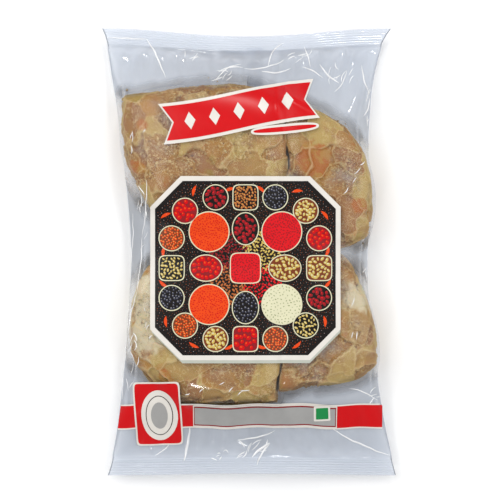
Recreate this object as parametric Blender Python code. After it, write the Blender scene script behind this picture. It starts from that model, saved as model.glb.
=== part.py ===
"""A sealed clear bag of broken jaggery blocks, lying on its back with its printed face up.

The bag is a tube of film that is pinched flat into a crimped seal at each end. It holds four lumps,
two by two, and wraps them closely, so it is one closed solid out to the film. +Y runs towards the
bag's top end, +Z out of its printed face, and the origin is under its middle, where it lies.
"""

from math import cos, pi, sin
from typing import NamedTuple

import bmesh
import bpy
import numpy as np

# The bag, in metres.
LENGTH = 0.279  # end to end, over both seals
SEAL_BAND = 0.011  # how far each crimped seal runs in from its end
FILM_GAP = 0.0010  # the thickness left where the two walls meet, at the seals and the side folds
WAIST = 0.1476  # the bag's width half way along, where the lumps have drawn its sides in
COLUMNS, ROWS = 40, 56  # faces across and along each wall


class Side(NamedTuple):
    """How one side fold runs out from the waist to a corner of the bag."""

    flare: float  # what the gentle curve from the waist adds to the half width
    flare_power: float
    ear: float  # what the quick curve by the seal's corner adds to it
    ear_power: float


class End(NamedTuple):
    """One end of the bag: its two side folds, and how its seal lies."""

    left: Side
    right: Side
    dip: float  # how far the middle of the seal is drawn in from its corners
    middle_height: float  # the seal's height over the table, at its middle
    corner_height: float


class Lump(NamedTuple):
    """One block of jaggery, as a rounded box that the film lies over."""

    x: float
    y: float
    half_x: float
    half_y: float
    height: float


TOP_END = End(
    left=Side(0.0150, 1.2, 0.0030, 20),
    right=Side(0.0030, 1.5, 0.0120, 9),
    dip=0.0055,
    middle_height=0.0150,
    corner_height=0.0090,
)
BOTTOM_END = End(
    left=Side(0.0110, 1.3, 0.0035, 12),
    right=Side(0.0180, 2.2, 0.0, 1),
    dip=0.0015,
    middle_height=0.0125,
    corner_height=0.0080,
)

LUMPS = (
    Lump(-0.0285, 0.0645, 0.0500, 0.0400, 0.0410),
    Lump(0.0470, 0.0440, 0.0275, 0.0400, 0.0385),
    Lump(-0.0285, -0.0475, 0.0440, 0.0455, 0.0395),
    Lump(0.0455, -0.0440, 0.0300, 0.0400, 0.0365),
)
PLAN_POWER = 3.4  # how square a lump is, seen from above
SECTION_POWER = 3.2  # how square it is, seen from the side
FOOT_SHARE = 0.62  # how much of a lump's plan presses the film flat on the table
FOLD_HEIGHT = 0.0150  # where the side folds lie beside the lumps
RELAXING_STEPS = 900
FLAT_UNDER = 0.0002  # a wall this close to the table lies on it

FILM_COLOUR = (0.62, 0.50, 0.34, 1.0)
FILM_ROUGHNESS = 0.25


def clear_scene():
    """Removes every object, so that the part stands alone."""
    for obj in list(bpy.data.objects):
        bpy.data.objects.remove(obj, do_unlink=True)


def end_at(v):
    """The end that a place v belongs to, where v runs from -1 at the bottom seal to 1 at the top."""
    return TOP_END if v > 0 else BOTTOM_END


def side_fold(side, v):
    """How far a side fold lies from the bag's middle line at v."""
    return WAIST / 2 + side.flare * abs(v) ** side.flare_power + side.ear * abs(v) ** side.ear_power


def along(v):
    """Where row v lies along the bag, before its ends are drawn in. Rows are closer at the seals."""
    return LENGTH / 2 * (0.6 * v + 0.4 * sin(pi / 2 * v))


def drawn_in(u, v):
    """How far the film at (u, v) is pulled towards the lumps: most at the middle of each seal."""
    return -np.sign(v) * end_at(v).dip * abs(v) ** 4 * (0.5 + 0.5 * cos(pi * u))


def seal_height(u, v):
    """The height of the seal's middle plane: its corners droop."""
    end = end_at(v)
    return end.corner_height + (end.middle_height - end.corner_height) * cos(pi / 2 * u) ** 2


def edge_height(u, v):
    """The height at which the two walls meet, at the side folds and in the seals."""
    return FOLD_HEIGHT + (seal_height(u, v) - FOLD_HEIGHT) * abs(v) ** 3


def plan_distance(lump, x, y):
    """0 at a lump's middle and 1 at its outline."""
    across = abs((x - lump.x) / lump.half_x)
    lengthwise = abs((y - lump.y) / lump.half_y)
    return (across**PLAN_POWER + lengthwise**PLAN_POWER) ** (1 / PLAN_POWER)


def rounded(distance, power):
    """1 at distance 0, falling along a squared-off curve to 0 at distance 1 and beyond."""
    return max(0.0, 1 - distance**power) ** (1 / SECTION_POWER)


def top_of_lumps(x, y):
    """The height of the highest lump at (x, y), or 0 beside them."""
    return max(lump.height * rounded(plan_distance(lump, x, y), PLAN_POWER) for lump in LUMPS)


def foot_of_lumps(x, y):
    """How high the lower wall may be at (x, y): flat under a lump, and rising with its edge."""
    highest = []
    for lump in LUMPS:
        beyond_foot = max(0.0, plan_distance(lump, x, y) - FOOT_SHARE) / (1 - FOOT_SHARE)
        highest.append(lump.height * (1 - rounded(beyond_foot, 2)))
    return min(highest)


def plan_of(u, v):
    """The (x, y) of a place on the bag. Columns are closer at the side folds."""
    left, right = -side_fold(end_at(v).left, v), side_fold(end_at(v).right, v)
    across = 0.55 * u + 0.45 * sin(pi / 2 * u)
    return (left + right) / 2 + (right - left) / 2 * across, along(v) + drawn_in(u, v)


def in_seal(v):
    """Whether row v lies in a seal, where the two walls are welded together."""
    return LENGTH / 2 - abs(along(v)) < SEAL_BAND


def taut(heights, held, limit):
    """Draws a wall tight: each free place settles midway between its neighbours, within its limit."""
    for _ in range(RELAXING_STEPS):
        around = heights.copy()
        around[1:-1, 1:-1] = (
            heights[:-2, 1:-1] + heights[2:, 1:-1] + heights[1:-1, :-2] + heights[1:-1, 2:]
        ) / 4
        heights = np.where(held, heights, limit(around))
    return heights


def wall_heights():
    """The heights of the upper and lower wall at every place of the grid, as two arrays."""
    us = np.linspace(-1, 1, COLUMNS + 1)
    vs = np.linspace(-1, 1, ROWS + 1)
    meeting = np.array([[edge_height(u, v) for u in us] for v in vs])
    plan = [[plan_of(u, v) for u in us] for v in vs]
    lump_tops = np.array([[top_of_lumps(x, y) for x, y in row] for row in plan])
    lump_feet = np.array([[foot_of_lumps(x, y) for x, y in row] for row in plan])
    held = np.zeros(meeting.shape, bool)
    held[:, [0, -1]] = True
    held[[in_seal(v) for v in vs]] = True

    upper = taut(meeting.copy(), held, lambda around: np.maximum(around, lump_tops))
    lower = taut(meeting.copy(), held, lambda around: np.minimum(around, lump_feet))
    lower = np.where(lower < FLAT_UNDER, 0.0, lower)
    lower = np.where(held, meeting - FILM_GAP / 2, lower)
    return np.maximum(upper, lower + FILM_GAP), lower


def slab(columns, rows):
    """A flat box from -1 to 1, cut into a grid across its two large faces."""
    mesh = bmesh.new()
    bmesh.ops.create_cube(mesh, size=2)
    for axis, cuts in ((0, columns - 1), (1, rows - 1)):
        lengthwise = [
            edge for edge in mesh.edges if abs(edge.verts[0].co[axis] - edge.verts[1].co[axis]) > 1
        ]
        bmesh.ops.subdivide_edges(mesh, edges=lengthwise, cuts=cuts, use_grid_fill=True)
    return mesh


def bag_mesh():
    """The bag's closed surface: a slab whose two large faces become the walls of film."""
    upper, lower = wall_heights()
    mesh = slab(COLUMNS, ROWS)
    for vert in mesh.verts:
        u, v, side = vert.co
        column = round((u + 1) / 2 * COLUMNS)
        row = round((v + 1) / 2 * ROWS)
        wall = upper if side > 0 else lower
        vert.co = (*plan_of(u, v), wall[row, column])
    data = bpy.data.meshes.new("sealed_bag")
    mesh.to_mesh(data)
    mesh.free()
    return data


def film_material():
    """Glossy clear film over tan jaggery."""
    material = bpy.data.materials.new("film_over_jaggery")
    material.use_nodes = True
    shader = material.node_tree.nodes["Principled BSDF"]
    shader.inputs["Base Color"].default_value = FILM_COLOUR
    shader.inputs["Roughness"].default_value = FILM_ROUGHNESS
    shader.inputs["Metallic"].default_value = 0.0
    return material


def main():
    """Builds the bag in a collection of its own."""
    clear_scene()
    collection = bpy.data.collections.new("jaggery_pack")
    bpy.context.scene.collection.children.link(collection)
    bag = bpy.data.objects.new("sealed_bag", bag_mesh())
    bag.data.materials.append(film_material())
    bag.data.shade_smooth()
    collection.objects.link(bag)


main()
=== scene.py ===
"""A sealed clear bag of broken jaggery blocks, with generic printing on its front film.

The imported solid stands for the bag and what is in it. This script replaces it with four blocks of
jaggery, their crumbs, the film that is drawn tight round them, its seals, and the ink on its front.
Sizes are in millimetres in the classes below, and in metres once they are in a mesh. Angles are in
degrees. x runs across the bag, y along it towards its top, and z up from the table that it lies on.
"""

import logging
import math
from dataclasses import dataclass
from enum import Enum
from typing import Callable, Sequence

import bmesh
import bpy
import numpy as np
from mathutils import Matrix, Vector, noise
from mathutils.bvhtree import BVHTree
from mathutils.kdtree import KDTree


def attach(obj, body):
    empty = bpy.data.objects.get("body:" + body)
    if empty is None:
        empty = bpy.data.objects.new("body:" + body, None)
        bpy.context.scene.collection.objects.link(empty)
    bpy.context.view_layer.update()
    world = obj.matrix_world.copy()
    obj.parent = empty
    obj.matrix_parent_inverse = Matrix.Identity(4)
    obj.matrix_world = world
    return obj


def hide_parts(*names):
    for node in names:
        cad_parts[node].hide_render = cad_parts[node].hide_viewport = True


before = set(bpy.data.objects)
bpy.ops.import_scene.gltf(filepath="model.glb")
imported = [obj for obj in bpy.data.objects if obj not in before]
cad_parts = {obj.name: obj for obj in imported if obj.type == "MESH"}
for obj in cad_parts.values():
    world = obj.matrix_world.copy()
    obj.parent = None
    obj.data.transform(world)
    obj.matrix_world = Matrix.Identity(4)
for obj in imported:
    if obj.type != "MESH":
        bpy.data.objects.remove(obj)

logging.basicConfig(level=logging.INFO, format="%(message)s")
LOG = logging.getLogger("jaggery_bag")

MM = 0.001
BODY = "root"
BAG_NODE = "sealed_bag"

Array = np.ndarray
Place = tuple[float, float]
Socket = bpy.types.NodeSocket
Tree = bpy.types.NodeTree
Material = bpy.types.Material
Piece = bpy.types.Object


# ---------------------------------------------------------------- small helpers


def linear(colour: str) -> tuple[float, float, float, float]:
    """Turns an sRGB hex colour into the linear colour that a shader takes.

    Args:
        colour: Six hex digits, such as "c9a46b".

    Returns:
        Red, green, blue and an alpha of 1.
    """
    shares = [int(colour[i : i + 2], 16) / 255 for i in (0, 2, 4)]
    return (*[s / 12.92 if s <= 0.04045 else ((s + 0.055) / 1.055) ** 2.4 for s in shares], 1.0)


def smoothstep(low: float, high: float, value: Array) -> Array:
    """A soft step from 0 at low to 1 at high.

    Args:
        low: Where the step starts.
        high: Where it ends. It may be below low.
        value: What is stepped.

    Returns:
        The stepped value, from 0 to 1.
    """
    share = np.clip((value - low) / (high - low), 0, 1)
    return share * share * (3 - 2 * share)


def add_node(tree: Tree, kind: str, links: dict | None = None, **settings) -> bpy.types.Node:
    """Adds one node to a tree.

    Args:
        tree: The tree that the node goes in.
        kind: The node's Blender type, such as "ShaderNodeMix".
        links: For an input, by name or number, the socket or the plain value that it takes.
        settings: Attributes of the node itself.

    Returns:
        The new node.
    """
    node = tree.nodes.new(kind)
    for name, value in settings.items():
        setattr(node, name, value)
    for key, value in (links or {}).items():
        if isinstance(value, Socket):
            tree.links.new(value, node.inputs[key])
        else:
            node.inputs[key].default_value = value
    return node


def result(tree: Tree, kind: str, links: dict | None = None, **settings) -> Socket:
    """Adds one node in the same way, and gives its first output."""
    return add_node(tree, kind, links, **settings).outputs[0]


def new_object(name: str, mesh: bpy.types.Mesh, material: Material) -> Piece:
    """Puts a mesh in the scene as a piece at the origin, with one material."""
    piece = bpy.data.objects.new(name, mesh)
    bpy.context.scene.collection.objects.link(piece)
    mesh.materials.clear()
    mesh.materials.append(material)
    return piece


def mesh_of(name: str, points: Array, faces: Array) -> bpy.types.Mesh:
    """Makes a smooth mesh from points in millimetres.

    Args:
        name: The mesh's name.
        points: One row of x, y and z for each vertex.
        faces: One row of vertex numbers for each face.

    Returns:
        The mesh, in metres.
    """
    mesh = bpy.data.meshes.new(name)
    mesh.from_pydata((points * MM).tolist(), [], faces.tolist())
    mesh.shade_smooth()
    mesh.validate()
    return mesh


def set_attribute(mesh: bpy.types.Mesh, name: str, values: Array) -> None:
    """Stores one number for each vertex of a mesh, for its material to read."""
    attribute = mesh.attributes.new(name, "FLOAT", "POINT")
    attribute.data.foreach_set("value", values.astype(np.float32))


def corners_of(mesh: bpy.types.Mesh) -> Array:
    """Reads a mesh's places, in mm, one row for each vertex."""
    flat = np.empty(len(mesh.vertices) * 3, np.float32)
    mesh.vertices.foreach_get("co", flat)
    return flat.reshape(-1, 3).astype(float) / MM


def nearest_gaps(points: Array, others: Array) -> Array:
    """How far each point is from the nearest of some others, in mm."""
    tree = KDTree(len(others))
    for index, other in enumerate(others):
        tree.insert(other, index)
    tree.balance()
    return np.array([tree.find(point)[2] for point in points])


def maths(tree: Tree, operation: str, *values: object, **settings) -> Socket:
    """Adds one step of arithmetic, and gives its result."""
    return result(tree, "ShaderNodeMath", dict(enumerate(values)), operation=operation, **settings)


def named(tree: Tree, name: str, kind: str = "FLOAT") -> Socket:
    """Adds a reader of a named attribute to a Geometry Nodes tree."""
    node = add_node(tree, "GeometryNodeInputNamedAttribute", {"Name": name}, data_type=kind)
    return node.outputs["Attribute"]


def random_size(tree: Tree, seed: Socket, low: object, high: object) -> Socket:
    """Adds a random number for each point, between two levels."""
    inputs = {2: low, 3: high, "Seed": seed}
    return add_node(tree, "FunctionNodeRandomValue", inputs, data_type="FLOAT").outputs[1]


def geometry_tree(name: str, *floats: str, whole: Sequence[str] = ()) -> tuple[Tree, Sequence[Socket]]:
    """Starts a Geometry Nodes tree that takes geometry, some numbers and a material.

    Args:
        name: The tree's name.
        floats: The names of the numbers.
        whole: The names of the numbers that are whole.

    Returns:
        The tree, and what it is given, by name.
    """
    tree = bpy.data.node_groups.new(name, "GeometryNodeTree")
    kinds = {"Geometry": "NodeSocketGeometry"}
    kinds |= dict.fromkeys(floats, "NodeSocketFloat") | dict.fromkeys(whole, "NodeSocketInt")
    for socket, kind in (kinds | {"Material": "NodeSocketMaterial"}).items():
        tree.interface.new_socket(socket, in_out="INPUT", socket_type=kind)
    tree.interface.new_socket("Geometry", in_out="OUTPUT", socket_type="NodeSocketGeometry")
    return tree, add_node(tree, "NodeGroupInput").outputs


def finish_tree(tree: Tree, given: Sequence[Socket], shape: Socket) -> Tree:
    """Ends a tree: realizes its instances, and gives them the material that it was given."""
    real = add_node(tree, "GeometryNodeRealizeInstances", {0: shape})
    inputs = {"Geometry": real.outputs[0], "Material": given["Material"]}
    dressed = add_node(tree, "GeometryNodeSetMaterial", inputs)
    add_node(tree, "NodeGroupOutput", {0: dressed.outputs[0]})
    return tree


def scatter(tree: Tree, given: Sequence[Socket], most: float) -> Socket:
    """Adds points over the given faces, no closer than the given Spacing.

    Args:
        tree: The tree.
        given: What it is given. It has a Spacing and a Seed.
        most: The most points in a square metre.

    Returns:
        The points.
    """
    inputs = {"Mesh": given[0], "Distance Min": given["Spacing"], "Density Max": most, "Seed": given["Seed"]}
    return result(tree, "GeometryNodeDistributePointsOnFaces", inputs, distribute_method="POISSON")


def run_tree(name: str, tree: Tree, base: bpy.types.Mesh, values: dict[str, object]) -> bpy.types.Mesh:
    """Runs a Geometry Nodes tree on a mesh.

    Args:
        name: The name of the mesh that comes out.
        tree: The tree.
        base: The mesh that it starts from.
        values: A value for each named input.

    Returns:
        The plain mesh that the tree makes.
    """
    carrier = bpy.data.objects.new(name, base)
    bpy.context.scene.collection.objects.link(carrier)
    modifier = carrier.modifiers.new(tree.name, "NODES")
    modifier.node_group = tree
    for item in tree.interface.items_tree:
        if item.item_type == "SOCKET" and item.in_out == "INPUT" and item.name in values:
            modifier[item.identifier] = values[item.name]
    graph = bpy.context.evaluated_depsgraph_get()
    mesh = bpy.data.meshes.new_from_object(carrier.evaluated_get(graph))
    mesh.name = name
    carrier.modifiers.clear()
    bpy.data.objects.remove(carrier)
    return mesh


def surface_of(piece: Piece) -> BVHTree:
    """Reads a piece's faces, for rays to be cast at."""
    bm = bmesh.new()
    bm.from_mesh(piece.data)
    surface = BVHTree.FromBMesh(bm)
    bm.free()
    return surface


def new_material(name: str) -> tuple[Material, Tree, bpy.types.Node]:
    """Makes a material, and gives it with its tree and its Principled BSDF."""
    material = bpy.data.materials.new(name)
    material.use_nodes = True
    return material, material.node_tree, material.node_tree.nodes["Principled BSDF"]


def place_piece(piece: Piece) -> None:
    """Makes a finished piece ride on the bag and logs it."""
    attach(piece, BODY)
    LOG.info("%s: %d faces", piece.name, len(piece.data.polygons))


# ---------------------------------------------------------------- the blocks of jaggery


@dataclass(frozen=True)
class Facet:
    """A flat break on top of a block.

    Attributes:
        azimuth: The way it falls away, from +X towards +Y.
        tilt: How far it leans from level.
        reach: How far it lies from the block's middle.
    """

    azimuth: float
    tilt: float
    reach: float

    def normal(self) -> Vector:
        """The facet's outward direction."""
        azimuth, tilt = math.radians(self.azimuth), math.radians(self.tilt)
        level = math.sin(tilt)
        return Vector((level * math.cos(azimuth), level * math.sin(azimuth), math.cos(tilt)))


@dataclass
class Block:
    """One block of jaggery, broken from a larger cake.

    Attributes:
        name: The piece's name.
        outline: Its corners seen from above, anticlockwise.
        height: Its height.
        facets: The flat breaks on its top.
        seed: Moves the noise, so that each block breaks in its own way.
        roughness: How deep its broken parts are, as a share.
        syrup: Where the sugar set clear and amber, as x, y and radius.
        bloom: Where pale sugar has come to the surface, in the same way.
        lift: How far its underside is from the table.
        corner_power: How sharp its corners are, seen from above.
        edge_power: How sharp its edges are, seen from the side.
        cells: How many faces it has along each of its six sides.
        swell: How wide and how deep its slow hollows are.
        chip: How wide its chips are, and how deep the deepest one goes.
        patch: How wide a patch of crag is.
        crag: How wide one crag is.
    """

    name: str
    outline: tuple[Place, ...]
    height: float
    facets: tuple[Facet, ...]
    seed: float
    roughness: float = 1.0
    syrup: tuple[tuple[float, float, float], ...] = ()
    bloom: tuple[tuple[float, float, float], ...] = ()
    lift: float = 0.9
    corner_power: float = 30.0
    edge_power: float = 7.0
    cells: int = 92
    swell: Place = (30.0, 1.4)
    chip: Place = (17.0, 1.9)
    patch: float = 22.0
    crag: float = 8.0

    def __post_init__(self) -> None:
        """Works out the block's middle, and the planes that bound it as normals over their reach."""
        corners = np.array(self.outline)
        self.middle = np.array([*((corners.min(0) + corners.max(0)) / 2), self.lift + self.height / 2])
        self.half = np.array([*np.ptp(corners, axis=0) / 2, self.height / 2])
        walls = []
        for start, end in zip(corners, np.roll(corners, -1, axis=0)):
            along = end - start
            outward = np.array([along[1], -along[0], 0]) / np.hypot(*along)
            walls.append(outward / ((start - self.middle[:2]) @ outward[:2]))
        ends = [np.array(facet.normal()) / facet.reach for facet in self.facets]
        ends += [np.array([0, 0, side]) / self.half[2] for side in (1, -1)]
        self.walls, self.ends = np.array(walls), np.array(ends)

    def gauge(self, points: Array) -> tuple[Array, Array]:
        """How far out each point lies: below 1 inside the block, and above 1 outside it.

        Args:
            points: Rows of x, y and z, in mm.

        Returns:
            The gauge, and its gradient for each point.
        """
        away = points - self.middle
        walls = np.maximum(away @ self.walls.T, 1e-9)
        side = (walls**self.corner_power).sum(1) ** (1 / self.corner_power)
        side_slope = ((walls / side[:, None]) ** (self.corner_power - 1)) @ self.walls
        ends = np.maximum(away @ self.ends.T, 1e-9)
        power = self.edge_power
        total = (side**power + (ends**power).sum(1)) ** (1 / power)
        slope = side_slope * ((side / total) ** (power - 1))[:, None]
        slope += ((ends / total[:, None]) ** (power - 1)) @ self.ends
        return total, slope

    def break_depth(self, point: Vector) -> tuple[float, float, float, float]:
        """How the surface is broken at a point.

        Args:
            point: The point.

        Returns:
            How deep it lies under the smooth outer form, the share of it that is rough crag,
            the tone of the chip that it is on, and how near it is to the chip's border.
        """
        place = point + Vector((self.seed * 13.7, self.seed * -7.1, self.seed * 3.3))
        swell = noise.fractal(place / self.swell[0], 0.9, 2.0, 3)
        # The chips' borders wander, first widely and then finely.
        wobble = Vector((0, 0, 0))
        for size, reach in ((9, 5), (2.6, 0.9)):
            across, along = place / size, place / size + Vector((5, 1, 9))
            wobble += Vector((noise.noise(across), noise.noise(along), 0)) * reach
        distances, cells = noise.voronoi((place + wobble) / self.chip[0])
        chip = 0.5 + 0.5 * noise.cell(cells[0] * 37.7)
        tone = 0.5 + 0.5 * noise.cell(cells[0] * 91.3)
        border = max(0.0, 1 - (distances[1] - distances[0]) / 0.11)
        crag = noise.ridged_multi_fractal(place / self.crag, 0.75, 2.1, 6, 1.0, 2.0)
        patch = noise.fractal(place / self.patch + Vector((3, 8, 2)), 1.0, 2.0, 2)
        rough = min(1.0, max(0.0, 0.75 + 1.6 * patch - 0.9 * (tone > 0.45)))
        depth = 0.4 + self.swell[1] * max(0.0, swell) + self.chip[1] * chip * (1 - border)
        # Where the sugar set clear, it is smooth.
        syrupy = [1.6 - math.hypot(point.x - x, point.y - y) / radius for x, y, radius in self.syrup]
        rough *= 1 - min(1.0, max([0.0, *syrupy]))
        depth += self.roughness * (0.12 + rough) * (0.3 + 0.75 * crag)
        return depth, rough, tone, border

    def build(self, material: Material) -> Piece:
        """Makes the block: a ball of evenly cut faces, pushed out to the planes, then broken.

        Args:
            material: Its material, which reads depth, rough, tone and border.

        Returns:
            The block, as a piece.
        """
        ball = bmesh.new()
        bmesh.ops.create_cube(ball, size=2)
        bmesh.ops.subdivide_edges(ball, edges=ball.edges[:], cuts=self.cells - 1, use_grid_fill=True)
        ways = np.array([v.co for v in ball.verts])
        ways = np.tan(ways * math.pi / 4)
        ways = ways / np.linalg.norm(ways, axis=1)[:, None] * self.half
        gauge, slope = self.gauge(self.middle + ways)
        skin = self.middle + ways / gauge[:, None]
        normals = slope / np.linalg.norm(slope, axis=1)[:, None]
        broken = np.array([self.break_depth(Vector(place)) for place in skin])
        self.skin = skin - normals * broken[:, :1]
        for vert, place in zip(ball.verts, self.skin):
            vert.co = place * MM
        mesh = bpy.data.meshes.new(self.name)
        ball.to_mesh(mesh)
        ball.free()
        mesh.shade_smooth()
        for name, values in zip(("depth", "rough", "tone", "border"), broken.T):
            set_attribute(mesh, name, values)
        ragged = np.array([noise.fractal(Vector(place) / 8, 0.9, 2.0, 3) for place in skin])
        for name, spots, soft in (("syrup", self.syrup, 0.2), ("bloom", self.bloom, 0.6)):
            covered = np.zeros(len(skin))
            for x, y, radius in spots:
                off = np.hypot(skin[:, 0] - x, skin[:, 1] - y) / radius + 0.55 * ragged
                covered = np.maximum(covered, smoothstep(1 + soft / 2, 1 - soft / 2, off))
            set_attribute(mesh, name, covered)
        return new_object(self.name, mesh, material)


# ---------------------------------------------------------------- the film


@dataclass(frozen=True)
class SideFold:
    """How a side of the bag runs out from its waist to a corner: its flare, and the ear at its very end."""

    flare: float
    flare_power: float
    ear: float
    ear_power: float

    def half_width(self, waist: float, share: Array) -> Array:
        """How far the fold lies from the middle line, at a share of the half length."""
        return waist / 2 + self.flare * share**self.flare_power + self.ear * share**self.ear_power


@dataclass(frozen=True)
class End:
    """One sealed end of the bag: its side folds, how far its middle dips in, and how high it lies."""

    left: SideFold
    right: SideFold
    dip: float
    middle_height: float
    corner_height: float


@dataclass(frozen=True)
class Crease:
    """A sharp pinched fold in the front film, as seen from above.

    Attributes:
        start: Where it begins.
        end: Where it ends.
        bow: How far its middle stands off the straight line, to the left of it.
        width: How wide it is in its middle.
    """

    start: Place
    end: Place
    bow: float = 0.0
    width: float = 0.9

    def places(self) -> Array:
        """Places along it, about 1 mm apart, as x and y."""
        start, end = np.array(self.start), np.array(self.end)
        along = end - start
        length = np.hypot(*along)
        share = np.linspace(0, 1, max(5, round(length)))[:, None]
        aside = np.array([-along[1], along[0]]) / length
        wiggle = 0.2 * np.sin(share * length / 3.1 + start[0]) + 0.1 * np.sin(share * length / 1.3 + start[1])
        return start + along * share + aside * (self.bow * 4 * share * (1 - share) + wiggle)


@dataclass(frozen=True)
class Crinkle:
    """A patch of short creases that run nearly the same way.

    Attributes:
        middle: Where its middle is.
        size: How far it reaches across and along.
        way: Which way the creases run, from +X.
        count: How many there are.
        length: How long they are.
    """

    middle: Place
    size: Place
    way: float
    count: int
    length: float = 9.0

    def creases(self, random: np.random.Generator) -> list[Crease]:
        """Its creases."""
        found = []
        for _ in range(self.count):
            middle = np.array(self.middle) + (random.random(2) - 0.5) * self.size
            angle = math.radians(self.way + random.normal(0, 22))
            half = np.array([math.cos(angle), math.sin(angle)]) * self.length * random.uniform(0.25, 0.6)
            start, end = tuple(middle - half), tuple(middle + half)
            found.append(Crease(start, end, random.normal(0, 0.6), random.uniform(0.4, 0.8)))
        return found


# Each long crease: where it starts and ends, its bow and its width.
CREASES = tuple(
    Crease((x0, y0), (x1, y1), bow, width)
    for x0, y0, x1, y1, bow, width in (
        (-91, 134.5, -64, 133, -0.6, 0.9), (-64, 133, -52, 108, 1.0, 1.1), (-19, 112, -4, 115, 1.0, 1.0),
        (-20, 107, -5, 117, 2.0, 0.9), (-3, 114, 22, 120, -2.5, 0.9), (8, 112, 26, 114, -1.5, 1.1),
        (22, 130, 12, 115, -3.0, 0.8), (34, 128, 38, 115, 1.0, 0.8), (33, 115, 46, 108, 1.0, 0.9),
        (44, 117, 56, 105, -1.5, 1.2), (61, 113, 53, 99, 1.2, 0.8), (70, 116, 75, 98, -1.0, 0.9),
        (75, 96, 71, 84, 0.8, 1.2), (-63, 44, -66, 10, 1.0, 0.8), (-66, 10, -69, -24, 0.6, 0.7),
        (-69, -24, -79, -92, -2.0, 0.9), (-72, 24, -74, -14, 0.7, 0.6), (-74, -30, -80, -76, 0.8, 0.6),
        (-79, -109, -62, -92, 2.6, 0.9), (-79, -109, -55, -99, -3.0, 0.9), (50, -109, 88, -127, -1.5, 1.1),
        (-37, -108, -41, -131, 0.8, 1.8), (-59, -127, -47, -117, -1.0, 0.8), (-7, -117, 16, -111, -1.2, 1.1),
        (-7, -117, -3, -122, 0.8, 1.2), (2, -128, 13, -119, 1.0, 1.8), (13, -119, 5, -133, -1.0, 1.2),
        (62, -84, 80, -92, 1.0, 0.7),
    )
)
# Each patch of short ones: its middle, its size, the way they run, their count and their length.
CRINKLES = tuple(
    Crinkle((x, y), (across, along), way, count, length)
    for x, y, across, along, way, count, length in (
        (-14, 110, 15, 8, 40, 7, 7), (55, 111, 18, 10, 55, 8, 7), (74, 92, 6, 22, 75, 8, 7),
        (-38, 122, 10, 10, 60, 4, 6), (26, 123, 26, 8, 20, 6, 6), (-72, -66, 8, 34, 80, 9, 8),
        (-66, 18, 6, 40, 85, 7, 8), (75, -8, 6, 26, 75, 6, 8), (4, -123, 20, 12, 30, 9, 8),
        (-18, -127, 14, 5, 10, 5, 4), (76, -90, 10, 14, 30, 4, 6), (-62, -46, 10, 36, 75, 5, 5),
        (68, -50, 12, 44, 70, 4, 5), (64, 50, 14, 40, 60, 4, 5), (-68, 76, 10, 30, 75, 4, 6),
        (-20, -84, 60, 10, 30, 6, 5),
    )
)


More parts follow.
